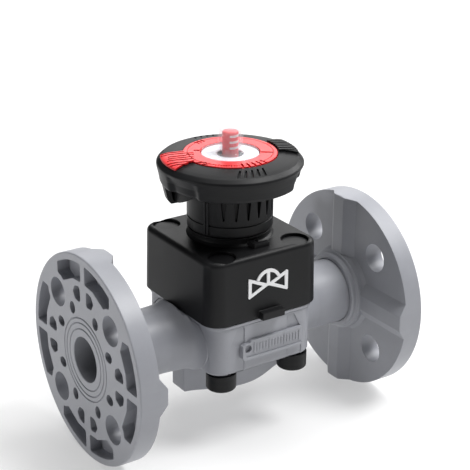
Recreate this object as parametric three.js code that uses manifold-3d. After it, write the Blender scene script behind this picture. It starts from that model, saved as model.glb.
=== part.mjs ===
// Hand-operated weir diaphragm valve with fixed flanges, in millimetres.
// Origin: where the pipe axis (X) crosses the stem axis (Z). The valve is drawn open.
import * as THREE from 'three';
import * as BufferGeometryUtils from 'three/addons/utils/BufferGeometryUtils.js';
import Module from 'manifold-3d';

const wasm = await Module();
wasm.setup();

// ---------- driving dimensions ----------
const FACE = 90; // flange sealing face, distance from the stem axis
const FLANGE_R = 57.5;
const FLANGE_BACK = 78.5;
const BORE_R = 12.3;
const BOLT_CIRCLE_R = 39.9;
const FLANGE_HOLE_R = 7.95;
const POCKET_FLOOR = 83;
const RIB_BACK = 74; // back of the four radial ribs
const NECK_R = 18.4;
const NECK_END = 76;
const SOCKET_R = 18.7;
const HUB_R = 23;

const BLOCK = { halfX: 32.6, halfY: 35.4, corner: 9, bottom: -13.5, top: 14 };
const BODY_TOP = 16;
const FOOT = { halfX: 33.4, endY: 6, midY: 17, bottom: -33.5 };
const CHAMBER = { halfX: 24, halfY: 15.5, depth: 5 }; // its floor is the weir's crest
const PORT = { x: 13.8, halfX: 9.5, halfY: 12.6 };
const BONNET_BOLT = { x: 23.2, y: 27.3 };

const SHEET = { halfX: 30.8, halfY: 33.2, bottom: 16.2, top: 19.2, thick: 2.2, rise: 7, flat: 0.25 };
const STUD = { top: 33.4, shankR: 2.2, headR: 4.4, headLow: 0.45, headHigh: 1.55 }; // head inside the sheet
const PIN_Z = 37.5; // cross pin that lets the compressor tilt
const BONNET = { halfX: 35.2, halfY: 36.3, corner: 9, bottom: 16.3, top: 52.5, round: 3 };
const CAVITY = { halfX: 24.5, halfY: 20, top: 46 };
const WEB = { bottom: 50.5, top: 56.5, hole: 9.9, recess: 16.3 };
const SEAL_Z = 53.5;
const NECK_TUBE = { outer: 18.9, inner: 16.5, top: 70 };
const COLLAR = {
  outer: 23.2, inner: 19.2, bottom: 57.3, top: 77.8, slots: 16, slotPitch: 360 / 22, firstSlot: -131.8,
};
const COUNTERBORE = { r: 7.9, floor: 39.5 };

const LOCK = { teeth: 24, root: 13.6, tip: 15.8, crownTip: 14.0, crownRoot: 16.2 };
const WHEEL = { bottom: 82.3, under: 91.8, recessR: 25.3, recessFloor: 94.6 };
const DIAL = { inner: 15.8, outer: 25, top: 97.7 };
const TAB = { from: 150, to: 187, edge: 37.2 };
const DOME = [[38.5, 94.1], [36.6, 95.4], [33, 96.4], [25.3, 97.2]]; // radius, height from rim to dial

const POSTS = [[1, 1], [-1, 1], [-1, -1], [1, -1]];
const POST_NAMES = ['back_right', 'back_left', 'front_left', 'front_right'];
const deg = THREE.MathUtils.degToRad;

// ---------- helpers ----------
function clean(geometry) {
  const plain = geometry.index ? geometry : BufferGeometryUtils.mergeVertices(geometry);
  plain.deleteAttribute('normal');
  plain.deleteAttribute('uv');
  return BufferGeometryUtils.mergeVertices(plain, 1e-4);
}

function dropSlivers(index) {
  const kept = [];
  for (let i = 0; i < index.length; i += 3) {
    const [a, b, c] = [index[i], index[i + 1], index[i + 2]];
    if (a !== b && b !== c && c !== a) kept.push(a, b, c);
  }
  return kept;
}

function signedVolume(points, index) {
  const [a, b, c] = [new THREE.Vector3(), new THREE.Vector3(), new THREE.Vector3()];
  let sum = 0;
  for (let i = 0; i < index.length; i += 3) {
    a.fromBufferAttribute(points, index[i]);
    b.fromBufferAttribute(points, index[i + 1]);
    c.fromBufferAttribute(points, index[i + 2]);
    sum += a.dot(b.cross(c));
  }
  return sum;
}

// A closed geometry whose faces point out.
function closed(geometry) {
  const result = clean(geometry);
  const index = dropSlivers(Array.from(result.index.array));
  if (signedVolume(result.attributes.position, index) < 0) index.reverse();
  result.setIndex(index);
  return result;
}

function solid(geometry) {
  const body = closed(geometry);
  return new wasm.Manifold(new wasm.Mesh({
    numProp: 3,
    vertProperties: new Float32Array(body.attributes.position.array),
    triVerts: new Uint32Array(body.index.array),
  }));
}

function fromSolid(body) {
  const mesh = body.getMesh();
  const geometry = new THREE.BufferGeometry();
  geometry.setAttribute('position', new THREE.BufferAttribute(mesh.vertProperties, 3));
  geometry.setIndex(Array.from(mesh.triVerts));
  return geometry;
}

function join(first, ...others) {
  return fromSolid(others.reduce((sum, next) => sum.add(solid(next)), solid(first)));
}

function cut(first, ...tools) {
  return fromSolid(tools.reduce((left, next) => left.subtract(solid(next)), solid(first)));
}

function rod(radius, low, high, { x = 0, y = 0, sides = 24, turn = 0 } = {}) {
  const shape = new THREE.CylinderGeometry(radius, radius, high - low, sides);
  shape.rotateX(Math.PI / 2).rotateZ(turn).translate(x, y, (low + high) / 2);
  return closed(shape);
}

function block(low, high) {
  const size = high.map((value, i) => value - low[i]);
  const middle = high.map((value, i) => (value + low[i]) / 2);
  return closed(new THREE.BoxGeometry(...size).translate(...middle));
}

// A profile of [radius, height] points turned about Z.
function turned(profile, sides = 32) {
  const first = profile[0];
  const points = profile.map(([r, z]) => new THREE.Vector2(r, z));
  const last = profile[profile.length - 1];
  if (first[0] > 0 || last[0] > 0) points.push(new THREE.Vector2(...first));
  return closed(new THREE.LatheGeometry(points, sides).rotateX(Math.PI / 2));
}

// A shape in the XY plane raised from low to high, with rounded edges when round is above 0.
function slab(shape, low, high, round = 0, curveSegments = 4) {
  const geometry = new THREE.ExtrudeGeometry(shape, {
    depth: high - low - 2 * round,
    bevelEnabled: round > 0,
    bevelSize: round,
    bevelOffset: -round,
    bevelThickness: round,
    bevelSegments: 2,
    curveSegments,
  });
  return closed(geometry.translate(0, 0, low + round));
}

function roundedRect(halfX, halfY, radius) {
  const shape = new THREE.Shape();
  shape.moveTo(-halfX + radius, -halfY);
  shape.lineTo(halfX - radius, -halfY);
  shape.absarc(halfX - radius, -halfY + radius, radius, -Math.PI / 2, 0);
  shape.absarc(halfX - radius, halfY - radius, radius, 0, Math.PI / 2);
  shape.absarc(-halfX + radius, halfY - radius, radius, Math.PI / 2, Math.PI);
  shape.absarc(-halfX + radius, -halfY + radius, radius, Math.PI, 1.5 * Math.PI);
  return shape;
}

function outline(points) {
  return new THREE.Shape(points.map(([x, y]) => new THREE.Vector2(x, y)));
}

const polar = (radius, degrees) => [radius * Math.cos(deg(degrees)), radius * Math.sin(deg(degrees))];

// A section of [radius, height] points swept about Z. It may change with the angle, and it is
// capped at both ends unless it goes all the way round.
function swept(sectionAt, from, to, steps) {
  const round = to - from === 360;
  const stations = round ? steps : steps + 1;
  const count = sectionAt(from).length;
  const vertices = [];
  for (let i = 0; i < stations; i++) {
    const angle = from + ((to - from) * i) / steps;
    for (const [r, z] of sectionAt(angle)) vertices.push(...polar(r, angle), z);
  }
  const index = [];
  for (let i = 0; i < steps; i++) {
    const next = ((i + 1) % stations) * count;
    for (let k = 0; k < count; k++) {
      const m = (k + 1) % count;
      index.push(i * count + k, next + k, next + m, i * count + k, next + m, i * count + m);
    }
  }
  if (!round) {
    for (const [station, angle] of [[0, from], [steps, to]]) {
      const ring = sectionAt(angle).map(([r, z]) => new THREE.Vector2(r, z));
      const flip = THREE.ShapeUtils.isClockWise(ring) === (station === 0);
      for (const [a, b, c] of THREE.ShapeUtils.triangulateShape(ring, [])) {
        const face = [a, b, c].map((k) => k + station * count);
        if (flip) face.reverse();
        index.push(...face);
      }
    }
  }
  const geometry = new THREE.BufferGeometry();
  geometry.setAttribute('position', new THREE.Float32BufferAttribute(vertices, 3));
  geometry.setIndex(index);
  return closed(geometry);
}

// A closed ring of round wire about Z.
function wireRing(radius, wire, height, sides = 20) {
  const section = () => Array.from({ length: 6 }, (_, k) => {
    const [r, z] = polar(wire, k * 60 + 30);
    return [radius + r, height + z];
  });
  return swept(section, 0, 360, sides);
}

function toothed(tip, root, teeth, width) {
  const points = [];
  for (let i = 0; i < teeth; i++) {
    const pitch = 360 / teeth;
    const middle = i * pitch;
    points.push(polar(root, middle - width * 0.62));
    points.push(polar(tip, middle - width * 0.5));
    points.push(polar(tip, middle + width * 0.5));
    points.push(polar(root, middle + width * 0.62));
  }
  return points;
}

// ---------- flanges ----------
function arcPoints(radius, from, to, steps) {
  return Array.from({ length: steps + 1 }, (_, i) => polar(radius, from + ((to - from) * i) / steps));
}

function mirrored(points) {
  return points.map(([x, y]) => [x, -y]).reverse();
}

function rotated(points, degrees) {
  const [c, s] = polar(1, degrees);
  return points.map(([x, y]) => [x * c - y * s, x * s + y * c]);
}

// The weight-saving pockets in the sealing face, for one quarter turn about the +X direction.
function quarterPockets() {
  const nearBolt = polar(BOLT_CIRCLE_R, 45);
  const roundBolt = [-4, -20, -36].map((a) => {
    const [dx, dy] = polar(11.6, a);
    return [nearBolt[0] + dx, nearBolt[1] + dy];
  });
  const outer = [...arcPoints(53.5, 2.4, 31, 4), ...roundBolt, polar(44, 14), polar(43.5, 3)];
  const inner = [[40.6, 5], [40.2, 12.5], [37.4, 17], [33, 15], [31.6, 5.6]].map((p) => polar(...p));
  const [hx, hy] = polar(28.2, 25.6);
  const small = Array.from({ length: 8 }, (_, k) => {
    const [dx, dy] = polar(1, 45 * k);
    return [hx + 3.4 * dx, hy + 2.8 * dy];
  });
  return [outer, inner, small, mirrored(outer), mirrored(inner), mirrored(small)];
}

// One flange along +Z: hub and socket for the body neck, ribs on the back, pockets in the face.
function flange() {
  const disc = turned([
    [BORE_R, FACE], [FLANGE_R - 0.6, FACE], [FLANGE_R, FACE - 0.6],
    [FLANGE_R, FLANGE_BACK + 0.6], [FLANGE_R - 0.6, FLANGE_BACK],
    [HUB_R + 2, FLANGE_BACK], [HUB_R, FLANGE_BACK - 1.6], [HUB_R, 73.2],
    [HUB_R - 1.5, 72.4], [HUB_R - 1.5, 70.4], [HUB_R - 2.3, 69.6],
    [SOCKET_R, 69.6], [SOCKET_R, NECK_END + 0.3], [BORE_R, NECK_END + 0.3],
  ], 44);
  const ribBase = FLANGE_BACK + 1;
  const ribSection = outline([[-8, ribBase], [-5.5, RIB_BACK], [5.5, RIB_BACK], [8, ribBase]]);
  const ribs = [0, 90, 180, 270].map((turn) => {
    const rib = new THREE.ExtrudeGeometry(ribSection, { depth: 36.4, bevelEnabled: false });
    return closed(rib.translate(0, 0, 20.5).rotateX(Math.PI / 2).rotateZ(deg(turn)));
  });
  const tools = [];
  for (const turn of [0, 90, 180, 270]) {
    for (const pocket of quarterPockets()) {
      tools.push(slab(outline(rotated(pocket, turn)), POCKET_FLOOR, FACE + 2));
    }
    const [x, y] = polar(BOLT_CIRCLE_R, turn + 45);
    tools.push(rod(FLANGE_HOLE_R, 70, FACE + 2, { x, y, sides: 18 }));
  }
  return cut(join(disc, ...ribs), ...tools);
}

// ---------- body ----------
function footShape() {
  const { halfX, endY, midY } = FOOT;
  const shape = new THREE.Shape();
  shape.moveTo(-halfX, endY);
  shape.lineTo(-halfX, -endY);
  shape.quadraticCurveTo(-halfX * 0.5, -midY, 0, -midY);
  shape.quadraticCurveTo(halfX * 0.5, -midY, halfX, -endY);
  shape.lineTo(halfX, endY);
  shape.quadraticCurveTo(halfX * 0.5, midY, 0, midY);
  shape.quadraticCurveTo(-halfX * 0.5, midY, -halfX, endY);
  return shape;
}

function sizePlate() {
  const front = -BLOCK.halfY;
  const plate = block([-15.5, front - 1.7, -3.8], [22.5, front + 1, 4.9]);
  const ledge = block([-16.2, front - 2.5, -5.2], [22.5, front + 1, -3.6]);
  const eye = rod(1.9, -3, 3, { sides: 16 });
  eye.rotateX(Math.PI / 2).translate(-12.6, front - 1.2, 1);
  return cut(join(plate, ledge), eye);
}

function valveBody() {
  const pipe = rod(NECK_R, -NECK_END, NECK_END, { sides: 32 }).rotateY(Math.PI / 2);
  const flare = turned([
    [0, -47.5], [NECK_R, -47.5], [21.5, -36], [21.5, 36], [NECK_R, 47.5], [0, 47.5],
  ]);
  flare.rotateY(Math.PI / 2).scale(1, 1, NECK_R / 21.5);
  const { halfX, halfY, corner, bottom, top } = BLOCK;
  const core = slab(roundedRect(halfX, halfY, corner), bottom, top + 1);
  const lip = slab(roundedRect(halfX + 0.9, halfY + 0.4, corner), top, BODY_TOP);
  const foot = slab(footShape(), FOOT.bottom, 0);
  const outer = join(pipe, flare, core, lip, foot, sizePlate());

  const tools = [block([-36.5, -40, BODY_TOP], [36.5, 40, 30])];
  for (const side of [-1, 1]) {
    const bore = rod(BORE_R, 9, NECK_END + 2, { sides: 28 });
    tools.push(bore.rotateY((side * Math.PI) / 2));
    const port = rod(1, 0, BODY_TOP + 2, { sides: 20 });
    tools.push(port.scale(PORT.halfX, PORT.halfY, 1).translate(side * PORT.x, 0, 0));
  }
  const chamber = new THREE.SphereGeometry(1, 24, 10);
  chamber.scale(CHAMBER.halfX, CHAMBER.halfY, CHAMBER.depth).translate(0, 0, BODY_TOP + 0.05);
  tools.push(chamber);
  for (const [sx, sy] of POSTS) {
    const place = { x: sx * BONNET_BOLT.x, y: sy * BONNET_BOLT.y, sides: 12 };
    tools.push(rod(3.5, bottom - 2, BODY_TOP + 2, place));
  }
  return cut(outer, ...tools);
}

// ---------- bonnet ----------
function ellipse(halfX, halfY) {
  return new THREE.Shape().absellipse(0, 0, halfX, halfY, 0, 2 * Math.PI);
}

function bonnet() {
  const { halfX, halfY, corner, bottom, top, round } = BONNET;
  const skirt = slab(roundedRect(halfX, halfY, corner), bottom, top - 6);
  const crown = slab(roundedRect(halfX, halfY, corner), top - 14, top, round);
  const neck = turned([
    [0, top - 2], [22, top - 2], [22, COLLAR.bottom - 0.5], [21.4, COLLAR.bottom],
    [NECK_TUBE.outer, COLLAR.bottom], [NECK_TUBE.outer, NECK_TUBE.top], [0, NECK_TUBE.top],
  ], 32);
  const frontTab = block([-5.5, -halfY - 4.2, bottom], [8.5, -halfY + 2, bottom + 4.1]);
  const lugTop = top + 2.4;
  const lugArm = block([-3, -29, top - 1], [-1, -20, lugTop]);
  const lug = join(block([-3, -29, top - 1], [6, -25.5, lugTop]), lugArm);
  const outer = join(skirt, crown, neck, frontTab, lug);

  const tools = [
    slab(roundedRect(SHEET.halfX + 0.6, SHEET.halfY + 0.6, corner - 1), bottom - 1, SHEET.top + 0.2),
    slab(ellipse(CAVITY.halfX, CAVITY.halfY), SHEET.top - 1, CAVITY.top, 0, 12),
    rod(WEB.recess, CAVITY.top - 1, WEB.bottom),
    rod(WEB.hole, WEB.bottom - 1, WEB.top + 1),
    rod(WEB.hole + 1.9, SEAL_Z - 1.2, SEAL_Z + 1.2),
    rod(NECK_TUBE.inner, WEB.top, NECK_TUBE.top + 1),
  ];
  for (const [sx, sy] of POSTS) {
    const place = { x: sx * BONNET_BOLT.x, y: sy * BONNET_BOLT.y };
    tools.push(rod(3.5, bottom - 1, COUNTERBORE.floor + 1, { ...place, sides: 12 }));
    tools.push(rod(COUNTERBORE.r, COUNTERBORE.floor, top + 1, { ...place, sides: 20 }));
  }
  return cut(outer, ...tools);
}

// Collar round the neck: tapered slots at the front, right and back, guide rails at the left.
function neckCollar() {
  const { outer, inner, bottom, top } = COLLAR;
  const ring = turned([
    [inner, bottom + 0.2], [outer - 0.7, bottom + 0.2], [outer, bottom + 1], [outer, 63.3],
    [outer - 0.5, 63.6], [outer, 63.9], [outer, top - 0.5], [outer - 0.5, top], [inner, top],
  ], 36);
  const rails = [-157.5, -153.3].map((angle) => {
    const rail = block([outer - 1, -0.6, bottom + 1], [outer + 0.8, 0.6, top - 1.5]);
    return rail.rotateZ(deg(angle));
  });
  const slots = [];
  const wedge = outline([[-0.35, 67], [0.35, 67], [1.7, top + 1], [-1.7, top + 1]]);
  for (let i = 0; i < COLLAR.slots; i++) {
    const tool = new THREE.ExtrudeGeometry(wedge, { depth: 4, bevelEnabled: false });
    tool.rotateX(Math.PI / 2).translate(0, outer + 1.8, 0);
    slots.push(closed(tool.rotateZ(deg(COLLAR.firstSlot - 90 + i * COLLAR.slotPitch))));
  }
  return cut(join(ring, ...rails), ...slots);
}

// ---------- drive and lock ----------
function driveSleeve() {
  const barrel = turned([
    [5.3, 46.2], [15.6, 46.2], [15.6, 49], [9.5, 49], [9.5, 57.8], [8.7, 57.8],
    [8.7, 59.5], [9.5, 59.5], [9.5, 63], [5.3, 63],
  ], 24);
  const hex = cut(rod(9.4, 62, 90, { sides: 6 }), rod(5.3, 61, 91));
  return join(barrel, hex);
}

function washer(inner, outer, low, high, sides = 24) {
  return turned([[inner, low], [outer, low], [outer, high], [inner, high]], sides);
}

function retainingRing() {
  const gap = block([-1.6, 5, 57], [1.6, 14, 61]);
  return cut(washer(8.9, 12.4, 57.95, 59.35), gap);
}

function lockRing() {
  const shape = outline(toothed(LOCK.tip, LOCK.root, LOCK.teeth, 6));
  return cut(slab(shape, 65, 69.5), rod(13.35, 64, 71));
}

function lockCrown() {
  const gaps = outline(toothed(LOCK.crownRoot, LOCK.crownTip, LOCK.teeth, 8.2));
  return cut(rod(18.9, 70.3, 75, { sides: 32 }), slab(gaps, 69, 76));
}

// ---------- handwheel ----------
// Depth of the three finger scoops in the rim, from 0 to 1.
function scoop(angle) {
  return [-165, -45, 75].reduce((deepest, centre) => {
    const away = Math.abs(((angle - centre + 540) % 360) - 180);
    return Math.max(deepest, away < 17 ? Math.cos((away / 17) * Math.PI / 2) : 0);
  }, 0);
}

function wheelSection(angle) {
  const bite = 2.4 * scoop(angle);
  return [
    [13.2, 64.9], [13.2, WHEEL.under], [32.5, WHEEL.under], [34.4 - 0.4 * bite, 90],
    [34 - bite, WHEEL.bottom], [36.9 - bite, WHEEL.bottom], [37.3 - bite, WHEEL.bottom + 0.6],
    [38.1 - 0.75 * bite, 87], [39, 91.2], [39.2, 92.6], ...DOME, [WHEEL.recessR, WHEEL.recessFloor],
    [6.8, WHEEL.recessFloor], [6.8, 91], [10.9, 91], [10.9, 64.9],
  ];
}

// The hanging shackle guard for a padlock: an outer wall, and an inner wall that rises to the rim.
function shackleGuard() {
  const outer = swept(() => [
    [33.8, 84], [36.6, 84], [36.7, 82], [34.3, 72.6], [32.1, 69.6], [30, 69.6], [31.7, 73.4], [33.8, 82],
  ], 112, 168, 10);
  const inner = swept((angle) => {
    const rise = Math.max(0, (angle - 160) / 43);
    const low = 70.5 + 11.5 * rise * rise;
    return [[28.8, low], [31.2, low], [31.2, 92.4], [28.8, 92.4]];
  }, 134, 203, 12);
  const floor = swept(() => [[28.8, 69.6], [32.2, 69.6], [33, 71.4], [28.8, 71.4]], 134, 168, 6);
  return join(outer, inner, floor);
}

function handwheel() {
  const shell = swept(wheelSection, 0, 360, 48);
  const foot = washer(10.2, 15.2, 63.5, 65, 24);
  const hexBore = rod(9.75, 63, 91, { sides: 6 });
  const sleeveWall = cut(rod(11.6, 63.5, 91.5, { sides: 24 }), hexBore, rod(6.8, 90, 93));
  return join(shell, foot, sleeveWall, shackleGuard());
}

// Height of the wheel's domed top at a radius.
function domeHeight(radius) {
  const outer = DOME.findIndex(([r], i) => i > 0 && radius >= r);
  const [[r0, z0], [r1, z1]] = outer > 0 ? [DOME[outer - 1], DOME[outer]] : [DOME[2], DOME[3]];
  return z0 + ((z1 - z0) * (radius - r0)) / (r1 - r0);
}

// A plate that lies on the dome, between two radii.
function domePlate(inner, edge, from, to) {
  const stops = [inner, 29, 33, 35.4, edge];
  const under = stops.map((r) => [r, domeHeight(r) + 0.3]);
  const over = stops.map((r) => [r, domeHeight(r) + 1.3]).reverse();
  return swept(() => [...under, ...over], from, to, 8);
}

function dialRing() {
  const ring = washer(DIAL.inner, DIAL.outer, WHEEL.recessFloor + 0.2, DIAL.top + 0.3, 40);
  const slotRight = block([16.2, -0.9, DIAL.top - 0.5], [22.4, 0.9, DIAL.top + 1]);
  slotRight.rotateZ(deg(-37));
  const slotLeft = block([16.2, -0.9, DIAL.top - 0.5], [19.2, 0.9, DIAL.top + 1]);
  slotLeft.rotateZ(deg(143));
  return cut(join(ring, domePlate(24.6, TAB.edge, TAB.from, TAB.to)), slotRight, slotLeft);
}

function clearCap() {
  return turned([
    [0, 112.3], [5.6, 112.3], [7, 111.3], [6.7, 98.9], [7.1, 98.1], [15.4, 98.1], [15.4, 97],
    [5.6, 97], [5.7, 110.4], [0, 110.9],
  ], 28);
}

function positionIndicator() {
  const marks = [100, 103.2, 106.4];
  const side = marks.flatMap((z) => [[4.3, z], [4, z + 0.3], [4, z + 1.3], [4.3, z + 1.6]]);
  return turned([
    [0, 96.8], [2.9, 96.8], [2.9, 93.5], [4.3, 93.5], ...side, [4.3, 108.4], [3.7, 109.2], [0, 109.2],
  ], 18);
}

// ---------- stem train ----------
function stem() {
  const foot = STUD.top + 0.4;
  const shaft = turned([
    [0, foot], [5, foot], [5, 88], [4.4, 88.6], [4.4, 90], [2.7, 90.6], [2.7, 96.6], [0, 96.6],
  ], 20);
  return cut(shaft, crossPin(2.25, 9));
}

function crossPin(radius, half) {
  return rod(radius, -half, half, { sides: 16 }).rotateY(Math.PI / 2).translate(0, 0, PIN_Z);
}

// Height of the open diaphragm's underside at a share of the way out from its flat centre.
function sheetHeight(share) {
  const slope = Math.max(0, (share - SHEET.flat) / (1 - SHEET.flat));
  return SHEET.bottom + SHEET.rise * (1 - slope * slope) ** 1.5;
}

function compressor() {
  const crown = SHEET.bottom + SHEET.rise + SHEET.thick + 0.2;
  const press = turned([
    [0, crown], [5, crown], [10, crown + 1.4], [15, crown + 4], [16.5, crown + 7], [0, crown + 7],
  ], 28);
  press.scale(1.25, 0.8, 1);
  const boss = rod(9.4, crown + 4, PIN_Z + 4);
  const wings = block([-21, -2.2, crown + 5], [21, 2.2, PIN_Z + 2.5]);
  const studHole = rod(2.5, crown - 1, STUD.top + 1);
  return cut(join(press, boss, wings), rod(5.3, STUD.top, PIN_Z + 5), studHole, crossPin(2.25, 11.5));
}

// Rubber sheet clamped round its edge, domed up into the bonnet while the valve is open.
function diaphragm() {
  const [spanX, spanY] = [CAVITY.halfX - 0.9, CAVITY.halfY - 0.9];
  const rim = slab(roundedRect(SHEET.halfX, SHEET.halfY, 8), SHEET.bottom, SHEET.top);
  const shares = [0, SHEET.flat, 0.4, 0.55, 0.7, 0.85, 1];
  const under = shares.map((share) => [share, sheetHeight(share)]);
  const over = shares.map((share) => [share, sheetHeight(share) + SHEET.thick]).reverse();
  const dome = turned([...under, ...over], 40).scale(spanX, spanY, 1);
  const opening = slab(ellipse(spanX - 0.3, spanY - 0.3), SHEET.bottom - 1, SHEET.top + 1, 0, 10);
  const holes = POSTS.map(([sx, sy]) => {
    const place = { x: sx * BONNET_BOLT.x, y: sy * BONNET_BOLT.y, sides: 12 };
    return rod(3.6, SHEET.bottom - 1, SHEET.top + 1, place);
  });
  const socket = studShape(0.15, STUD.top);
  return cut(join(cut(rim, opening), dome), ...holes, socket);
}

// The insert's head and shank, grown by a clearance.
function studShape(clearance, top) {
  const middle = SHEET.bottom + SHEET.rise;
  const [low, high] = [middle + STUD.headLow - clearance, middle + STUD.headHigh + clearance];
  const [head, shank] = [STUD.headR + clearance, STUD.shankR + clearance];
  return turned([[0, low], [head, low], [head, high], [shank, high], [shank, top], [0, top]], 20);
}

// Insert whose head is moulded into the sheet's centre and whose shank pulls it up with the stem.
function diaphragmStud() {
  return studShape(0, STUD.top);
}

// ---------- fasteners ----------
function bonnetBolt() {
  return join(rod(3, -19.4, 42, { sides: 12 }), rod(6.2, 41, 46.4, { sides: 6 }));
}

function boltNut() {
  return cut(rod(6, -18.9, -13.8, { sides: 6 }), rod(3.25, -20, -13, { sides: 12 }));
}

function boltCap() {
  return turned([
    [0, -23], [7.4, -23], [8.2, -22.2], [8.2, -13.8], [7, -13.8], [7, -21.2], [0, -21.2],
  ], 20);
}

// Push-in plug over a bolt head, a little below the bonnet's top.
function boltPlug() {
  const top = BONNET.top - 1.6;
  return turned([[0, 47.4], [7.5, 47.4], [7.5, top - 0.6], [6.6, top], [0, top]], 20);
}

// ---------- assembly ----------
const palette = {
  pvc: { color: 0x8d9096, roughness: 0.5, metalness: 0 },
  black: { color: 0x1c1d1f, roughness: 0.55, metalness: 0 },
  red: { color: 0xd42a24, roughness: 0.45, metalness: 0 },
  white: { color: 0xdfe2e6, roughness: 0.4, metalness: 0 },
  clear: { color: 0xeef2f6, roughness: 0.05, metalness: 0, transparent: true, opacity: 0.35 },
  rubber: { color: 0x17181a, roughness: 0.9, metalness: 0 },
  steel: { color: 0xb9bcc0, roughness: 0.35, metalness: 1 },
  brass: { color: 0xc6b98f, roughness: 0.35, metalness: 1 },
  acetal: { color: 0xe8e6dd, roughness: 0.5, metalness: 0 },
};

const valve = new THREE.Group();

function add(name, geometry, finish, x = 0, y = 0) {
  const mesh = new THREE.Mesh(geometry, new THREE.MeshStandardMaterial(palette[finish]));
  mesh.name = name;
  mesh.position.set(x, y, 0);
  valve.add(mesh);
}

add('valve_body', valveBody(), 'pvc');
add('flange_left', flange().rotateY(-Math.PI / 2), 'pvc');
add('flange_right', flange().rotateY(Math.PI / 2), 'pvc');
add('bonnet', bonnet(), 'black');
add('neck_collar', neckCollar(), 'black');
add('lock_crown', lockCrown(), 'black');
add('diaphragm', diaphragm(), 'rubber');
add('diaphragm_stud', diaphragmStud(), 'steel');
add('compressor', compressor(), 'black');
add('floating_pin', crossPin(2, 8.6), 'steel');
add('stem', stem(), 'steel');
add('position_indicator', positionIndicator(), 'red');
add('drive_sleeve', driveSleeve(), 'brass');
add('thrust_washer_lower', washer(9.8, 15.6, 49.2, 50.3), 'acetal');
add('thrust_washer_upper', washer(9.8, 15.6, 56.7, 57.7), 'acetal');
add('retaining_ring', retainingRing(), 'steel');
add('sleeve_seal', wireRing(10.7, 0.85, SEAL_Z), 'rubber');
add('handwheel', handwheel(), 'black');
add('lock_ring', lockRing(), 'acetal');
add('dial_ring', dialRing(), 'red');
add('index_tab', domePlate(25.6, TAB.edge - 1, TAB.from - 180, TAB.to - 180), 'black');
add('tag_plate', washer(7.3, 15.3, 96.05, 96.8, 28), 'white');
add('cap_seal', wireRing(9, 0.55, 95.35), 'rubber');
add('clear_cap', clearCap(), 'clear');
POSTS.forEach(([sx, sy], i) => {
  const [x, y] = [sx * BONNET_BOLT.x, sy * BONNET_BOLT.y];
  add(`bonnet_bolt_${POST_NAMES[i]}`, bonnetBolt(), 'steel', x, y);
  add(`bolt_washer_${POST_NAMES[i]}`, washer(3.3, 6.9, 39.7, 40.8, 16), 'steel', x, y);
  add(`bolt_nut_${POST_NAMES[i]}`, boltNut(), 'steel', x, y);
  add(`bolt_cap_${POST_NAMES[i]}`, boltCap(), 'black', x, y);
  add(`bolt_plug_${POST_NAMES[i]}`, boltPlug(), 'black', x, y);
});

export default valve;
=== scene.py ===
"""Looks of a hand-operated diaphragm valve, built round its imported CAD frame.

Lengths are millimetres and angles degrees until a mesh is finished, which is when it becomes metres.
"""
import math

import bmesh
import bpy
from mathutils import Matrix, Vector


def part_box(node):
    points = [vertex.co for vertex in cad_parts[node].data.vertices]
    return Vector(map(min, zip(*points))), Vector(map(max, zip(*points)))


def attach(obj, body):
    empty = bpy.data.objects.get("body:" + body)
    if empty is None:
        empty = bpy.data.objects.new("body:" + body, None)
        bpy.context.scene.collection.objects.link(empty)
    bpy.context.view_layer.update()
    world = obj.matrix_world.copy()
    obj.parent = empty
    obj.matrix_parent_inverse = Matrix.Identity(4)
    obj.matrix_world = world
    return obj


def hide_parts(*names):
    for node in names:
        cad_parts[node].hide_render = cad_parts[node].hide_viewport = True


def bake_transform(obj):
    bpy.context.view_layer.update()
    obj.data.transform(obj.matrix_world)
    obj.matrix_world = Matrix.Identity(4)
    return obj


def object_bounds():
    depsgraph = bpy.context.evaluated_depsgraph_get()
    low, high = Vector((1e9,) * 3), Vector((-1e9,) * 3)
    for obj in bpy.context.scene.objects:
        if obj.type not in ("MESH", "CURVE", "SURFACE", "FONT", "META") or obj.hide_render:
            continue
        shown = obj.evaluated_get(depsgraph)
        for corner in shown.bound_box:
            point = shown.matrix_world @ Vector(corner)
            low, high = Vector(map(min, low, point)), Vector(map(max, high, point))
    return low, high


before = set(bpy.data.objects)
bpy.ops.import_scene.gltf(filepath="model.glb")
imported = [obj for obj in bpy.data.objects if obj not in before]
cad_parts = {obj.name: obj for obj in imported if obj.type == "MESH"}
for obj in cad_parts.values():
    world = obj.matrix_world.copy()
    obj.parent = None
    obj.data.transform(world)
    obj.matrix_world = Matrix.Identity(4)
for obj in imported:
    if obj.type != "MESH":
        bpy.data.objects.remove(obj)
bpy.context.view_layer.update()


def box_mm(node):
    low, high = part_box(node)
    return low * 1000, high * 1000


BODY_LOW = box_mm("valve_body")[0]
BONNET_LOW, BONNET_HIGH = box_mm("bonnet")
WHEEL_LOW = box_mm("handwheel")[0]
FLANGE_HIGH = box_mm("flange_right")[1]
COLLAR_LOW, COLLAR_HIGH = box_mm("neck_collar")
CAP_HIGH = box_mm("clear_cap")[1]
FLOOR_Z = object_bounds()[0][2]
POSTS = {"back_right": (1, 1), "back_left": (-1, 1), "front_left": (-1, -1), "front_right": (1, -1)}
BOLT_X, BOLT_Y = 23.2, 27.3  # the bonnet bolts, from the stem's axis


def middle(node):
    low, high = box_mm(node)
    return (low + high) / 2


# ---------- outlines ----------
def polar(radius, angle):
    return radius * math.cos(math.radians(angle)), radius * math.sin(math.radians(angle))


def arc(radius, start, end, steps):
    return [polar(radius, start + (end - start) * i / steps) for i in range(steps + 1)]


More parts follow.
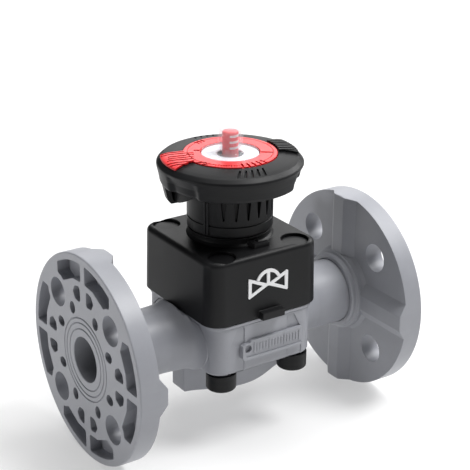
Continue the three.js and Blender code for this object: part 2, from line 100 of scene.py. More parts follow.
def fillet(corners, steps=5):
    """A closed outline of (a, b, radius) corners with each corner rounded; the radius may be left out."""
    count = len(corners)
    points = []
    for i, corner in enumerate(corners):
        here = Vector(corner[:2])
        radius = corner[2] if len(corner) > 2 else 0
        before = Vector(corners[i - 1][:2]) - here
        after = Vector(corners[(i + 1) % count][:2]) - here
        turn = before.angle(after)
        if radius <= 0:
            points.append((here.x, here.y))
            continue
        if turn > math.radians(178):  # straight on: the same number of points, in a line
            for k in range(steps + 1):
                spot = here + before.normalized() * min(radius, 0.4 * before.length) * (0.5 - k / steps)
                points.append((spot.x, spot.y))
            continue
        reach = min(radius / math.tan(turn / 2), 0.48 * before.length, 0.48 * after.length)
        radius = reach * math.tan(turn / 2)
        centre = here + (before.normalized() + after.normalized()).normalized() * radius / math.sin(turn / 2)
        first = here + before.normalized() * reach - centre
        last = here + after.normalized() * reach - centre
        sweep = first.angle_signed(last)
        for k in range(steps + 1):
            spot = first.copy()
            spot.rotate(Matrix.Rotation(-sweep * k / steps, 2))
            points.append((centre.x + spot.x, centre.y + spot.y))
    return points


def rounded_rect(half_x, half_y, radius, steps=10):
    corners = [(-half_x, -half_y, radius), (half_x, -half_y, radius), (half_x, half_y, radius)]
    return fillet(corners + [(-half_x, half_y, radius)], steps)


def turned_by(points, angle):
    c, s = polar(1, angle)
    return [(x * c - y * s, x * s + y * c) for x, y in points]


# ---------- solids ----------
def finished(name, bm):
    bmesh.ops.remove_doubles(bm, verts=bm.verts, dist=1e-4)
    bmesh.ops.recalc_face_normals(bm, faces=bm.faces)
    mesh = bpy.data.meshes.new(name)
    bm.to_mesh(mesh)
    bm.free()
    mesh.transform(Matrix.Scale(0.001, 4))
    piece = bpy.data.objects.new(name, mesh)
    bpy.context.scene.collection.objects.link(piece)
    return piece


def skin(bm, rings, wrap):
    """Quads between neighbouring rings of vertices. With wrap, the last ring joins the first."""
    pairs = zip(rings, rings[1:] + rings[:1]) if wrap else zip(rings, rings[1:])
    for near, far in pairs:
        for k in range(len(near)):
            m = (k + 1) % len(near)
            bm.faces.new((near[k], far[k], far[m], near[m]))


def swept(name, section_at, start=0, end=360, steps=160):
    """A closed (radius, height) section carried round Z; section_at(angle) may change it."""
    bm = bmesh.new()
    whole = end - start == 360
    rings = []
    for i in range(steps if whole else steps + 1):
        angle = start + (end - start) * i / steps
        rings.append([bm.verts.new((*polar(r, angle), z)) for r, z in section_at(angle)])
    skin(bm, rings, whole)
    if not whole:
        bm.faces.new(rings[0])
        bm.faces.new(rings[-1])
    return finished(name, bm)


def lathe(name, corners, steps=160):
    section = fillet(corners, 3)
    return swept(name, lambda angle: section, steps=steps)


def loft(name, levels):
    """A solid through outlines stacked in height; each level is (outline, z)."""
    bm = bmesh.new()
    rings = [[bm.verts.new((x, y, z)) for x, y in points] for points, z in levels]
    skin(bm, rings, False)
    bm.faces.new(rings[0])
    bm.faces.new(rings[-1])
    return finished(name, bm)


def prism(name, points, low, high):
    return loft(name, [(points, low), (points, high)])


def cylinder(name, radius, low, high, x=0, y=0, sides=64):
    circle = [(x + a, y + b) for a, b in arc(radius, 0, 360, sides)[:-1]]
    return prism(name, circle, low, high)


def brick(name, low, high):
    outline = [(low[0], low[1]), (high[0], low[1]), (high[0], high[1]), (low[0], high[1])]
    return prism(name, outline, low[2], high[2])


def moved(piece, turn=0, axis="Z", shift=(0, 0, 0), stretch=(1, 1, 1)):
    """Stretches, then turns, then shifts the mesh itself."""
    matrix = Matrix.Translation(Vector(shift) * 0.001)
    matrix = matrix @ Matrix.Rotation(math.radians(turn), 4, axis)
    piece.data.transform(matrix @ Matrix.Diagonal((*stretch, 1)))
    return piece


def combine(piece, tools, operation):
    for tool in tools:
        modifier = piece.modifiers.new("shape", "BOOLEAN")
        modifier.operation = operation
        modifier.solver = "MANIFOLD"
        modifier.object = tool
    settle(piece)
    for tool in tools:
        bpy.data.objects.remove(tool)
    return piece


def weld(piece, *tools):
    return combine(piece, tools, "UNION")


def carve(piece, *tools):
    return combine(piece, tools, "DIFFERENCE")


def settle(piece):
    """Applies the modifiers."""
    graph = bpy.context.evaluated_depsgraph_get()
    mesh = bpy.data.meshes.new_from_object(piece.evaluated_get(graph))
    piece.modifiers.clear()
    piece.data = mesh
    return piece


def merged_flats(piece):
    """Joins the coplanar facets that the booleans leave, so that edges round evenly."""
    bm = bmesh.new()
    bm.from_mesh(piece.data)
    bmesh.ops.remove_doubles(bm, verts=bm.verts, dist=2e-6)
    bmesh.ops.dissolve_degenerate(bm, edges=bm.edges, dist=2e-6)
    bmesh.ops.dissolve_limit(bm, angle_limit=math.radians(0.3), verts=bm.verts, edges=bm.edges)
    bm.to_mesh(piece.data)
    bm.free()
    return piece


def soften(piece, width=0.4, angle=35, segments=2):
    """Rounds the sharp edges and smooths the shading, with the large faces kept flat."""
    if width > 0:
        edge = piece.modifiers.new("edge", "BEVEL")
        edge.width = width * 0.001
        edge.segments = segments
        edge.limit_method = "ANGLE"
        edge.angle_limit = math.radians(angle)
        edge.use_clamp_overlap = False
        settle(piece)
    piece.data.shade_smooth()
    piece.data.set_sharp_from_angle(angle=math.radians(40))
    shading = piece.modifiers.new("shading", "WEIGHTED_NORMAL")
    shading.keep_sharp = True
    shading.weight = 80
    return settle(piece)


# ---------- materials ----------
def socket(nodes, kind, **values):
    node = nodes.new(kind)
    for key, value in values.items():
        if key in node.inputs:
            node.inputs[key].default_value = value
        else:
            setattr(node, key, value)
    return node


def ramp(nodes, low, high, first, second):
    node = nodes.new("ShaderNodeValToRGB")
    node.color_ramp.elements[0].position = low
    node.color_ramp.elements[1].position = high
    node.color_ramp.elements[0].color = (*first, 1)
    node.color_ramp.elements[1].color = (*second, 1)
    return node


def plastic(name, colour, mottle=0.06, rough=(0.36, 0.5), grain=0.35, wear=0.12, metallic=0.0,
            specular=0.5, grain_size=0.45):
    """Moulded or machined surface: mottled colour, fine grain, roughness that varies, paler worn edges."""
    material = bpy.data.materials.new(name)
    material.use_nodes = True
    nodes, links = material.node_tree.nodes, material.node_tree.links
    shader = nodes["Principled BSDF"]
    shader.inputs["Metallic"].default_value = metallic
    shader.inputs["Specular IOR Level"].default_value = specular
    place = nodes.new("ShaderNodeTexCoord")
    broad = socket(nodes, "ShaderNodeTexNoise", Scale=45.0, Detail=4.0, Roughness=0.6)
    fine = socket(nodes, "ShaderNodeTexNoise", Scale=1000 / grain_size, Detail=2.0)
    for texture in (broad, fine):
        links.new(place.outputs["Object"], texture.inputs["Vector"])
    dark = tuple(c * (1 - mottle) for c in colour)
    light = tuple(min(1, c * (1 + mottle)) for c in colour)
    tint = ramp(nodes, 0.3, 0.7, dark, light)
    links.new(broad.outputs["Fac"], tint.inputs["Fac"])
    geometry = nodes.new("ShaderNodeNewGeometry")
    edges = ramp(nodes, 0.52, 0.6, (0, 0, 0), (wear, wear, wear))
    links.new(geometry.outputs["Pointiness"], edges.inputs["Fac"])
    worn = nodes.new("ShaderNodeMix")
    worn.data_type = "RGBA"
    worn.inputs["B"].default_value = (*[min(1, c * 1.5 + 0.03) for c in colour], 1)
    links.new(edges.outputs["Color"], worn.inputs["Factor"])
    links.new(tint.outputs["Color"], worn.inputs["A"])
    links.new(worn.outputs["Result"], shader.inputs["Base Color"])
    gloss = socket(nodes, "ShaderNodeMapRange", **{"To Min": rough[0], "To Max": rough[1]})
    links.new(broad.outputs["Fac"], gloss.inputs["Value"])
    links.new(gloss.outputs["Result"], shader.inputs["Roughness"])
    bump = socket(nodes, "ShaderNodeBump", Strength=grain, Distance=0.00006)
    links.new(fine.outputs["Fac"], bump.inputs["Height"])
    links.new(bump.outputs["Normal"], shader.inputs["Normal"])
    return material


def clear(name):
    """Slightly cloudy transparent plastic."""
    material = plastic(name, (0.88, 0.9, 0.95), mottle=0.01, rough=(0.03, 0.08), grain=0.05, wear=0)
    material.node_tree.nodes["Principled BSDF"].inputs["Alpha"].default_value = 0.16
    return material


FINISH = {
    "grey_pvc": plastic("grey_pvc", (0.315, 0.322, 0.352), mottle=0.05, rough=(0.34, 0.46), grain=0.3),
    "black_plastic": plastic("black_plastic", (0.0085, 0.0087, 0.0095), mottle=0.2, rough=(0.38, 0.5),
                             grain=0.4, wear=0.12, specular=0.2, grain_size=0.6),
    "red_plastic": plastic("red_plastic", (0.86, 0.045, 0.05), mottle=0.05, rough=(0.3, 0.42),
                           grain=0.3, wear=0.1),
    # a darker red painted onto the dial ring's groove walls and floors as shade
    "red_painted_shade": plastic("red_painted_shade", (0.6, 0.006, 0.008), mottle=0.1, rough=(0.4, 0.5), grain=0.3, wear=0),
    "rubber": plastic("rubber", (0.012, 0.012, 0.013), mottle=0.25, rough=(0.6, 0.8), grain=0.6),
    "stainless": plastic("stainless", (0.55, 0.55, 0.56), mottle=0.06, rough=(0.22, 0.38), grain=0.2,
                         metallic=1.0, grain_size=0.2),
    "plated_brass": plastic("plated_brass", (0.62, 0.52, 0.3), mottle=0.08, rough=(0.22, 0.4), grain=0.2,
                            metallic=1.0, grain_size=0.25),
    "acetal": plastic("acetal", (0.72, 0.71, 0.67), mottle=0.04, rough=(0.35, 0.5), grain=0.2),
    "clear_plastic": clear("clear_plastic"),
    "mark_white": plastic("mark_white", (0.85, 0.85, 0.86), mottle=0.02, rough=(0.4, 0.5), grain=0.15,
                          wear=0),
    "tag_silver": plastic("tag_silver", (0.80, 0.81, 0.85), mottle=0.03, rough=(0.25, 0.35), grain=0.1,
                          wear=0),
}


def finish(piece, look, body, *nodes, slot=None):
    """Gives a piece its look, its moving body and the CAD nodes that it stands in for."""
    piece.data.materials.clear()
    piece.data.materials.append(FINISH[look])
    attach(piece, body)
    if nodes:
        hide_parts(*nodes)
    return piece


# ---------- flanges ----------
FACE = FLANGE_HIGH.x
BACK = FACE - 11.5
RIM = FLANGE_HIGH.z
RIB_BACK = 74
BOLT_CIRCLE = 39.9
BOLT_HOLE = 7.95
POCKET_FLOOR = FACE - 7
BORE = 12.3
SOCKET = 18.7
HUB = 23
RIB_TOP, RIB_FOOT = 3.6, 10.6  # half widths of a rib at its top and where its slopes meet the disc


def face_grooves():
    """The three fine sealing grooves round the bore, as profile corners from the bore outwards."""
    corners = []
    for radius in (16.75, 20.0, 22.7):
        corners += [(radius - 0.35, FACE), (radius - 0.2, FACE - 0.7), (radius + 0.2, FACE - 0.7),
                    (radius + 0.35, FACE)]
    return corners


def quarter_pockets():
    """Outlines of the face's pockets on both sides of the rib at angle 0."""
    bolt = polar(BOLT_CIRCLE, 45)
    around = [(bolt[0] + x, bolt[1] + y, 1.5) for x, y in (polar(11.6, a) for a in (-4, -20, -36))]
    outside = [(*point, 0.9 if i in (0, 12) else 0) for i, point in enumerate(arc(53.5, 2.4, 31, 12))]
    outer = fillet(outside + around + [(*polar(44, 14), 2), (*polar(43.5, 3), 1.2)])
    inner = fillet([(*polar(40.6, 5), 1.6), (*polar(40.2, 12.5), 1.6), (*polar(37.4, 17), 1.6),
                    (*polar(33, 15), 1.8), (*polar(31.6, 5.6), 1.8)])
    hx, hy = polar(28.2, 25.6)
    small = [(hx + 3.4 * a, hy + 2.8 * b) for a, b in arc(1, 0, 360, 28)[:-1]]
    above = [outer, inner, small]
    return above + [[(x, -y) for x, y in reversed(points)] for points in above]


def rib_gap(turn):
    """The space between two ribs, open at the rim; the ribs' sides slope out to the disc's back."""
    far = RIM + 4
    levels = [(RIB_TOP, RIB_BACK - 0.5), (RIB_FOOT, BACK)]
    gap = loft("gap", [(turned_by([(w, w), (far, w), (far, far), (w, far)], turn), z) for w, z in levels])
    hub = lathe("hub", [
        (0, 70), (HUB + 0.05, 70), (HUB + 0.05, BACK - 2), (HUB + 2.4, BACK + 0.5), (0, BACK + 0.5),
    ], 240)
    return carve(gap, hub)


def flange(name, turn):
    piece = lathe(name, [
        (BORE, FACE, 0.5), *face_grooves(), (RIM, FACE, 0.9), (RIM, RIB_BACK, 0.8), (HUB, RIB_BACK),
        (HUB, 73.2, 0.6), (HUB - 1.5, 72.4, 0.5), (HUB - 1.5, 70.4, 0.6),
        (HUB - 2.3, 69.6, 0.4), (SOCKET, 69.6), (SOCKET, 76.3), (BORE, 76.3),
    ], 240)
    tools = []
    for quarter in (0, 90, 180, 270):
        tools.append(rib_gap(quarter))
        for pocket in quarter_pockets():
            tools.append(prism("pocket", turned_by(pocket, quarter), POCKET_FLOOR, FACE + 2))
        x, y = polar(BOLT_CIRCLE, quarter + 45)
        tools.append(cylinder("hole", BOLT_HOLE, 70, FACE + 2, x, y))
    carve(piece, *tools)
    moved(piece, turn, "Y")
    return finish(soften(merged_flats(piece), 0.35), "grey_pvc", "housing", name)


# ---------- body ----------
BOWL_HALF_X, BOWL_HALF_Y, BOWL_DEPTH = 24, 15.5, 5  # the space over the weir
PORT_X, PORT_HALF_X, PORT_HALF_Y = 13.8, 9.5, 12.6
PIPE = 18.4
HALF_X, HALF_Y = 32.6, 35.4
BOTTOM = -13.5
TOP = 16


def foot_outline():
    """Lens-shaped plan of the foot."""
    half, end, mid = 33.4, 6, 17
    front = []
    for i in range(21):
        t = i / 20
        x = -half + 2 * half * t
        bulge = math.cos(math.pi * (t - 0.5)) ** 1.4
        front.append((x, -end - (mid - end) * bulge))
    return front + [(x, -y) for x, y in reversed(front)]


def flare(side):
    """The neck widening sideways into the block; its height stays within the pipe's."""
    widths = [(50, 18.3), (47.5, 18.75), (44, 19.4), (40, 20.5), (37, 21.5), (35.6, 22.3), (34.4, 23.6),
              (33.4, 25.6), (32.7, 28.4), (30, 29)]
    circle = arc(1, 0, 360, 96)[:-1]
    levels = [([(18.37 * a, width * b) for a, b in circle], side * x) for x, width in widths]
    return moved(loft("flare", levels), 90, "Y")


def valve_body():
    piece = cylinder("valve_body", PIPE, -76, 76, sides=128)
    moved(piece, 90, "Y")
    flares = [flare(side) for side in (-1, 1)]
    core = loft("core", [
        (rounded_rect(HALF_X - 2.2, HALF_Y - 2.2, 8), BOTTOM),
        (rounded_rect(HALF_X - 0.8, HALF_Y - 0.8, 9), BOTTOM + 0.6),
        (rounded_rect(HALF_X, HALF_Y, 9.5), BOTTOM + 2.2),
        (rounded_rect(HALF_X, HALF_Y, 9.5), 14.4),
    ])
    lip = prism("lip", rounded_rect(HALF_X + 0.9, HALF_Y + 0.4, 9.6), 14, TOP)
    foot = loft("foot", [
        ([(x * 0.975, y * 0.94) for x, y in foot_outline()], BODY_LOW.z),
        (foot_outline(), BODY_LOW.z + 0.9), (foot_outline(), -2),
    ])
    weld(piece, *flares, core, lip, foot)
    tools = [brick("roof", (-36.5, -40, TOP), (36.5, 40, 30))]
    arch = fillet([
        (-23.5, BOTTOM - 1), (-13.8, BOTTOM - 1), (-13.8, 13.2, 1), (-18, 13.2, 3), (-23.5, 2, 8),
    ], 6)
    for side in (1, -1):
        niche = [(x * side, z) for x, z in arch]
        for low, high in ((HALF_Y - 0.7, HALF_Y + 3), (-HALF_Y - 3, 0.7 - HALF_Y)):
            tools.append(moved(prism("niche", niche, low, high), 90, "X"))
    for sx, sy in POSTS.values():
        tools.append(cylinder("hole", 3.5, BOTTOM - 2, TOP + 2, sx * BOLT_X, sy * BOLT_Y, 32))
    floor = [(BOWL_HALF_X * math.sin(math.radians(a)), -BOWL_DEPTH * math.cos(math.radians(a)))
             for a in range(6, 90, 6)]
    bowl = lathe("bowl", [(0, -BOWL_DEPTH), *floor, (BOWL_HALF_X, 0), (BOWL_HALF_X, 6), (0, 6)], 64)
    tools.append(moved(bowl, shift=(0, 0, TOP), stretch=(1, BOWL_HALF_Y / BOWL_HALF_X, 1)))
    for side in (-1, 1):
        bore = cylinder("bore", BORE, 9, 80)
        tools.append(moved(bore, side * 90, "Y"))
        port = cylinder("port", 1, 0, 18, sides=48)
        tools.append(moved(port, shift=(side * PORT_X, 0, 0), stretch=(PORT_HALF_X, PORT_HALF_Y, 1)))
    carve(piece, *tools)
    return finish(soften(merged_flats(piece), 0.45), "grey_pvc", "housing", "valve_body")


def size_plate():
    """Raised plate on the front of the body, with plain upright bars and an eye at its left end."""
    wall = HALF_Y - 0.6
    plate = fillet([(-15.4, -4.2, 1.2), (22.5, -4.2, 0.6), (22.5, 4.9, 0.8), (-10.4, 4.9, 0.8),
                    (-11.6, 3.6, 0.8), (-15.4, 3.6, 1.2)])
    piece = moved(prism("size_plate", plate, wall, HALF_Y + 1.7), 90, "X")
    ledge = fillet([(-16.4, 3.2, 0.5), (-16.4, -5.6, 2.2), (22.5, -5.6, 0.5), (22.5, -4.2, 0.3),
                    (-14.3, -4.2, 1.4), (-15.2, 3.2, 0.5)])
    weld(piece, moved(prism("ledge", ledge, wall, HALF_Y + 2.6), 90, "X"))
    carve(piece, moved(cylinder("eye", 2.3, HALF_Y - 1.6, HALF_Y + 4, -12.6, 0.5, 40), 90, "X"))
    bars = []
    for i in range(16):
        tall = 3.0 if i % 5 == 0 else 2.2
        x = -8.6 + i * 1.95
        low, high = 0.4 - tall, 0.4 + tall
        bar = fillet([
            (x - 0.36, low, 0.2), (x + 0.36, low, 0.2), (x + 0.36, high, 0.2), (x - 0.36, high, 0.2),
        ], 2)
        bars.append(moved(prism("bar", bar, wall, HALF_Y + 2.1), 90, "X"))
    weld(piece, *bars)
    return finish(soften(merged_flats(piece), 0.12), "grey_pvc", "housing")


# ---------- bonnet ----------
def bonnet():
    half_x, half_y, top = BONNET_HIGH.x, BONNET_HIGH.y, 52.5
    bottom = BONNET_LOW.z

    def level(inset, z, corner=9.5):
        return rounded_rect(half_x - inset, half_y - inset, corner - inset), z

    roof = [level(0.7 + 3 * (1 - math.cos(math.radians(a))), top - 3 + 3 * math.sin(math.radians(a)))
            for a in (0, 15, 30, 45, 60, 75, 90)]
    piece = loft("bonnet", [level(0.5, bottom), level(0.1, bottom + 0.2), level(0, bottom + 0.7), *roof])
    neck = lathe("neck", [
        (0, top - 2), (23.4, top - 2), (23.4, top + 0.2, 1), (22, top + 1.4, 1), (22, top + 3.7, 0.6),
        (22.9, top + 3.9, 0.3), (22.9, 57, 0.3), (18.9, 57.3), (18.9, 70), (0, 70),
    ])
    tab = brick("tab", (-5.5, -half_y - 4.2, bottom + 0.1), (8.5, -half_y + 2, bottom + 4.2))
    lug = prism("lug", fillet([(-3.2, -28.6, 0.4), (6.2, -28.6, 0.4), (6.2, -25.6, 0.4), (0.2, -25.6, 0.6),
                               (0.2, -22.6, 0.6), (3.2, -22.6, 0.4), (3.2, -20.8, 0.4), (-3.2, -20.8, 0.4)]),
                top - 1, top + 2.6)
    weld(piece, neck, tab, lug)
    cavity = [(24.5 * a, 20 * b) for a, b in arc(1, 0, 360, 64)[:-1]]
    tools = [
        prism("seat", rounded_rect(31.4, 33.8, 8), bottom - 1, 19.4),
        prism("cavity", cavity, 18.2, 46),
        cylinder("hole", 16.3, 45, 50.5),
        cylinder("hole", 9.9, 50, 57.5),
        cylinder("hole", 16.5, 56.5, 71),
    ]
    for sx, sy in POSTS.values():
        x, y = sx * BOLT_X, sy * BOLT_Y
        tools.append(cylinder("bolt", 3.5, bottom - 1, 41, x, y, 32))
        tools.append(cylinder("counterbore", 7.45, 39.5, top + 1, x, y, 72))
    carve(piece, *tools)
    return finish(soften(merged_flats(piece), 0.35), "black_plastic", "housing", "bonnet")


def front_symbol():
    """A generic valve symbol, two triangles point to point under an arched line, moulded in white."""
    y = BONNET_HIGH.y
    centre = (0.3, 34.6)
    left = fillet([(-12.6, -6, 0.7), (-12.6, 6, 0.7), (0.8, 0, 0.3)])
    inner = fillet([(-10.6, -3.3, 0.3), (-10.6, 3.3, 0.3), (-3.6, 0, 0.2)])
    arch = arc(8.2, 24, 156, 24) + list(reversed(arc(6.4, 24, 156, 24)))
    stalk = [(-0.95, -0.6), (0.95, -0.6), (0.95, 7.4), (-0.95, 7.4)]

    def plate(points, low, high):
        shifted = [(x + centre[0], z + centre[1]) for x, z in points]
        return moved(prism("plate", shifted, low, high), 90, "X")

    low, high = y - 1.2, y + 0.15
    right = [(-x, z) for x, z in left]
    raised_arch = [(x, z + 0.6) for x, z in arch]
    piece = plate(left, low, high)
    weld(piece, plate(right, low, high), plate(raised_arch, low, high), plate(stalk, low, high))
    carve(piece, plate(inner, low - 1, high + 1), plate([(-x, z) for x, z in inner], low - 1, high + 1))
    piece.name = "front_symbol"
    return finish(soften(piece, 0.12), "mark_white", "housing", slot="white_plastic")


def neck_collar():
    """Collar with sixteen tapered slots open at its top and two upright rails on its left."""
    outer, inner, bottom, top = 23.2, 19.2, COLLAR_LOW.z, COLLAR_HIGH.z
    first_slot, slot_pitch = -131.8, 360 / 22
    piece = lathe("neck_collar", [
        (inner, bottom), (outer - 0.4, bottom, 0.3), (outer - 0.4, bottom + 0.6, 0.2),
        (outer, bottom + 0.9, 0.2),
        (outer, 63.2, 0.3), (outer - 0.6, 63.4, 0.1), (outer - 0.6, 63.8, 0.1), (outer, 64, 0.3),
        (outer, 70), (outer + 0.2, top - 0.8, 0.5), (outer, top), (inner, top),
    ], 240)
    rails = []
    for angle in (-157.5, -153.3):
        rail = brick("rail", (outer - 1, -0.6, bottom + 0.8), (outer + 0.8, 0.6, top - 1.2))
        rails.append(moved(rail, angle))
    weld(piece, *rails)
    slots = []
    wedge = fillet([(-0.4, 67, 0.3), (0.4, 67, 0.3), (1.7, top + 1), (-1.7, top + 1)])
    for i in range(16):
        slot = moved(prism("slot", wedge, -outer - 1.8, 2.0 - outer), 90, "X")
        slots.append(moved(slot, first_slot - 90 + i * slot_pitch))
    carve(piece, *slots)
    return finish(soften(piece, 0.2), "black_plastic", "housing", "neck_collar")


# ---------- diaphragm ----------
SHEET_LOW, SHEET_HIGH = box_mm("diaphragm")


def diaphragm():
    """Rubber sheet clamped round its edge and domed up round the head of its stud."""
    rim_top, rise, thick, flat = 19.2, 7, 2.2, 0.25

    def height(share):
        slope = max(0, (share - flat) / (1 - flat))
        return SHEET_LOW.z + rise * (1 - slope * slope) ** 1.5

    shares = [0, *[flat + (1 - flat) * i / 18 for i in range(19)]]
    under = [(share, height(share)) for share in shares]
    over = [(share, height(share) + thick) for share in reversed(shares)]
    dome = moved(swept("dome", lambda angle: under + over, steps=96), stretch=(23.6, 19.1, 1))
    piece = prism("diaphragm", rounded_rect(SHEET_HIGH.x, SHEET_HIGH.y, 8), SHEET_LOW.z, rim_top)
    opening = [(23.3 * a, 18.8 * b) for a, b in arc(1, 0, 360, 96)[:-1]]
    holes = [cylinder("hole", 3.6, SHEET_LOW.z - 1, rim_top + 1, sx * BOLT_X, sy * BOLT_Y, 24)
             for sx, sy in POSTS.values()]
    carve(piece, prism("opening", opening, SHEET_LOW.z - 1, rim_top + 1), *holes)
    weld(piece, dome)
    carve(piece, lathe("socket", [
        (0, 23.5), (4.55, 23.5), (4.55, 24.9), (2.35, 24.9), (2.35, 33), (0, 33),
    ], 48))
    piece.data.materials.clear()
    soften(piece, 0)
    piece.data.materials.append(FINISH["rubber"])
    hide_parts("diaphragm")
    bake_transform(piece)
    return piece


# ---------- handwheel ----------
DOME = [(38.7, 93.5, 1.6), (36.6, 95.3, 2), (33, 96.3), (25.3, 97.2, 0.4)]
SCOOPS = (-165, -45, 75)


def dome_height(radius):
    edge = [(39.2, 92.6), *[point[:2] for point in DOME]]
    for (r0, z0), (r1, z1) in zip(edge, edge[1:]):
        if radius >= r1:
            return z0 + (z1 - z0) * (radius - r0) / (r1 - r0)
    return edge[-1][1]


def smooth(value):
    value = min(1, max(0, value))
    return value * value * (3 - 2 * value)


def scoop(angle):
    """Depth of the finger scoops in the rim, from 0 to 1."""
    away = min(abs((angle - centre + 540) % 360 - 180) for centre in SCOOPS)
    return smooth((17.5 - away) / 6.5)


def wheel_section(angle):
    bite = 2.3 * scoop(angle)
    under, bottom = 91.8, WHEEL_LOW.z + 18.8
    corners = [
        (13.2, 64.9), (13.2, under), (32.4, under, 1), (34.2 - bite * 0.5, 90), (34 - bite, bottom, 0.6),
        (36.9 - bite, bottom, 0.7), (37.5 - bite, bottom + 1.4, 0.8), (38.1 - bite * 0.85, 87.2, 3),
        (39 - bite * 0.3, 91, 1), (39.2, 92.6, 1.2), *DOME, (25.3, 94.6), (6.8, 94.6), (6.8, 91), (10.9, 91),
        (10.9, 64.9),
    ]
    return fillet(corners, 3)


def shackle_guard():
    """The hanging pocket for a padlock shackle: outer wall, floor, and inner wall rising to the rim."""
    floor_z = 72.6
    outer = swept("guard", lambda angle: fillet([
        (33.4, 84), (36.4, 84), (36.6, 82, 1), (34.9, 74.6, 1.6), (33.2, floor_z, 0.9), (31, floor_z, 0.4),
        (31.8, 74.6, 1), (33.4, 82, 1)], 3), 112, 168, 40)

    def inner_section(angle):
        rise = max(0, (angle - 160) / 43)
        low = floor_z + 0.6 + 9.2 * rise * rise
        return [(28.8, low), (31.2, low), (31.2, 92.4), (28.8, 92.4)]

    inner = swept("guard", inner_section, 134, 203, 50)
    floor = swept("guard", lambda angle: [(28.8, floor_z + 0.1), (33, floor_z + 0.1), (33.4, 74), (28.8, 74)],
                  134, 168, 30)
    ribs = [swept("guard", lambda angle, z=z: [(30.5, z), (31.9, z), (31.9, z + 0.7), (30.5, z + 0.7)],
                  136, 196, 40)
            for z in (84.6, 86.9)]
    return [outer, inner, floor, *ribs]


def scale_slits():
    """Slanted slits in the dome, five at the front and four at the back."""
    cuts = [((28.2, -113.5 + i * 6.4), (35.6, -117 + i * 5.9)) for i in range(5)]
    cuts += [((30.5, 74 + i * 6.5), (35.2, 72 + i * 6.2)) for i in range(4)]
    tools = []
    for start, end in cuts:
        a, b = Vector(polar(*start)), Vector(polar(*end))
        length = (b - a).length
        plan = fillet([(0, -0.45, 0.4), (length, -0.7, 0.6), (length, 0.7, 0.6), (0, 0.45, 0.4)])
        slit = prism("slit", plan, -1.0, 3)
        tilt = math.degrees(math.atan2(dome_height(end[0]) - dome_height(start[0]), length))
        moved(slit, -tilt, "Y")
        heading = math.degrees(math.atan2(b.y - a.y, b.x - a.x))
        tools.append(moved(slit, heading, shift=(a.x, a.y, dome_height(start[0]))))
    return tools


def handwheel():
    piece = swept("handwheel", wheel_section, steps=240)
    foot = lathe("foot", [(10.2, 63.5), (15.2, 63.5), (15.2, 65), (10.2, 65)], 96)
    sleeve = cylinder("sleeve", 11.6, 63.5, 91.5)
    carve(sleeve, cylinder("hex", 9.75, 63, 91, sides=6), cylinder("bore", 6.8, 90, 93))
    weld(piece, foot, sleeve, *shackle_guard())
    carve(piece, *scale_slits())
    return finish(soften(piece, 0.22, 40), "black_plastic", "wheel", "handwheel")


def dome_plate(name, inner, edge, start, end, rise):
    """A thin plate that lies on the wheel's dome between two radii and two angles."""
    stops = [inner + (edge - inner) * i / 12 for i in range(13)]

    def section(angle):
        under = [(r, dome_height(r) + 0.3) for r in stops]
        over = [(r, dome_height(r) + 0.3 + rise) for r in reversed(stops)]
        return under + over

    return swept(name, section, start, end, 48)


def parallel_grooves(heading, offsets, near, far, height, depth, width=0.7):
    """Straight grooves along a heading, each at its own sideways offset."""
    tools = []
    for offset in offsets:
        low = (near, offset - width / 2, height - depth)
        groove = brick("groove", low, (far, offset + width / 2, height + 3))
        tools.append(moved(groove, heading))
    return tools


def paint_shade_in_grooves(piece, look):
    """Paints shade into an engraved piece: its upright and sunken faces get a darker material that stands in
    for the shade in its grooves.
    """
    piece.data.materials.append(FINISH[look])
    for face in piece.data.polygons:
        radius, height = math.hypot(face.center.x, face.center.y) * 1000, face.center.z * 1000
        surface = 97.9 if radius < 25 else dome_height(radius) + 1.4
        # painted shade: faces that stand upright or lie below the surface take the darker material
        face.material_index = 1 if face.normal.z < 0.5 or height < surface - 0.3 else 0
    return piece


def dial_ring():
    top = 97.9
    piece = lathe("dial_ring", [
        (15.8, 94.8), (25, 94.8), (25, top - 0.2, 0.4), (22.9, top, 0.1), (22.9, top - 0.35, 0.05),
        (22.5, top - 0.35, 0.05), (22.5, top, 0.1), (15.8, top, 0.3),
    ], 200)
    weld(piece, dome_plate("tab", 24.4, 37, 150, 187, 1.1))
    tools = [
        moved(brick("slot", (16.2, -0.8, top - 0.9), (22.6, 0.8, top + 1)), -37),
        moved(brick("slot", (16.2, -0.8, top - 0.9), (19.4, 0.8, top + 1)), 143),
    ]
    for angle in (-108, -100, -92, -84, -76):
        tools.append(moved(brick("groove", (20.4, -0.55, top - 0.9), (26, 0.55, top + 1)), angle))
    for i in range(16):
        long = 22.1 if i % 4 else 21.4
        tools.append(moved(brick("tick", (long, -0.22, top - 0.4), (24.2, 0.22, top + 1)), -166 + i * 3.4))
    for angle in (98, 104, 110, 62, 56, 50):
        tools.append(moved(brick("tick", (20.6, -0.55, top - 0.8), (24.4, 0.55, top + 1)), angle))
    tools += parallel_grooves(146, (3.4, 6.0), 19, 38, 97.2, 0.9, 1.0)
    tools += parallel_grooves(146, (9.4, 12.0, 14.6), 19, 32.5, 97.2, 0.9, 1.0)
    tools += parallel_grooves(146, (18.0, 20.6), 12, 34, 96.9, 1.0, 1.0)
    carve(piece, *tools)
    finish(soften(piece, 0.12, 40), "red_plastic", "wheel", "dial_ring")
    # the shade in the dial ring's grooves is painted on in a darker red
    return paint_shade_in_grooves(piece, "red_painted_shade")


def index_tab():
    piece = dome_plate("index_tab", 25.7, 36.4, -30, 7, 1.1)
    carve(piece, *parallel_grooves(-14, (-7.5, -4.5, -1.5, 1.5, 4.5, 7.5), 25, 40, 96.4, 0.9, 1.1))
    return finish(soften(piece, 0.2, 40), "black_plastic", "wheel", "index_tab")


